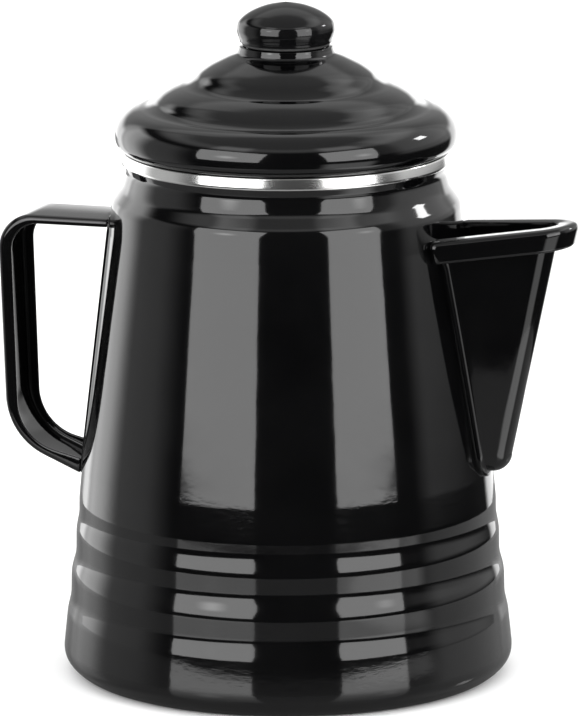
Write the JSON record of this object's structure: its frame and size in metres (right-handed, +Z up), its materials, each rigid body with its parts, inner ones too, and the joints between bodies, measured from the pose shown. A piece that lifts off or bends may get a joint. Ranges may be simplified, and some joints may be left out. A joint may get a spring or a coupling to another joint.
{
  "type": "coffee percolator",
  "caption": "Enamelled stove-top coffee percolator: stepped tapering pot, welded V spout, strap handle, ringed domed lid with knob, lift-out pump and basket.",
  "frame": {"origin": "centre of the flat bottom, on the pot's axis, where the pot meets the surface it stands on", "axes": "+Z up along the pot's axis, +X towards the tip of the spout, -X towards the handle, +Y to the left of someone who looks along +X"},
  "size_m": [0.2111, 0.16, 0.2406],
  "materials": {
    "black_enamel": "gloss black glass enamel on steel",
    "polished_rim": "polished stainless steel",
    "satin_steel": "satin stainless steel",
    "knob_black": "gloss black heat-proof plastic",
    "seal_black": "matt black silicone"
  },
  "bodies": {
    "pot": {"pot_wall": "black_enamel", "pot_bottom": "black_enamel", "rim_band": "polished_rim", "spout": "black_enamel", "handle_strap": "black_enamel", "handle_back_strip": "black_enamel"},
    "lid": {"lid_shell": "black_enamel", "lid_skirt": "satin_steel"},
    "knob": {"knob": "knob_black", "knob_seal": "seal_black"},
    "pump": {"pump_foot": "satin_steel", "riser_tube": "satin_steel", "basket_stop": "satin_steel"},
    "basket": {"basket_cup": "satin_steel", "basket_sleeve": "satin_steel"},
    "spreader": {"spreader_plate": "satin_steel"}
  },
  "joints": [
    {"name": "lid_lift", "type": "slide", "parent": "pot", "child": "lid", "axis": [0, 0, 1], "range_m": [0, 0.42]},
    {"name": "pump_lift", "type": "slide", "parent": "pot", "child": "pump", "axis": [0, 0, 1], "range_m": [0, 0.2101]},
    {"name": "basket_lift", "type": "slide", "parent": "pump", "child": "basket", "axis": [0, 0, 1], "range_m": [0, 0.1177]},
    {"name": "spreader_lift", "type": "slide", "parent": "basket", "child": "spreader", "axis": [0, 0, 1], "range_m": [0, 0.0421]},
    {"name": "knob_twist", "type": "hinge", "parent": "lid", "child": "knob", "pos_m": [0, 0, 0.2266], "axis": [0, 0, 1], "range_deg": [0, 90]}
  ],
  "couplings": [
    {"joint": "pump_lift", "follows": "lid_lift", "ratio": 0.5},
    {"joint": "basket_lift", "follows": "lid_lift", "ratio": 0.28},
    {"joint": "spreader_lift", "follows": "lid_lift", "ratio": 0.1}
  ]
}
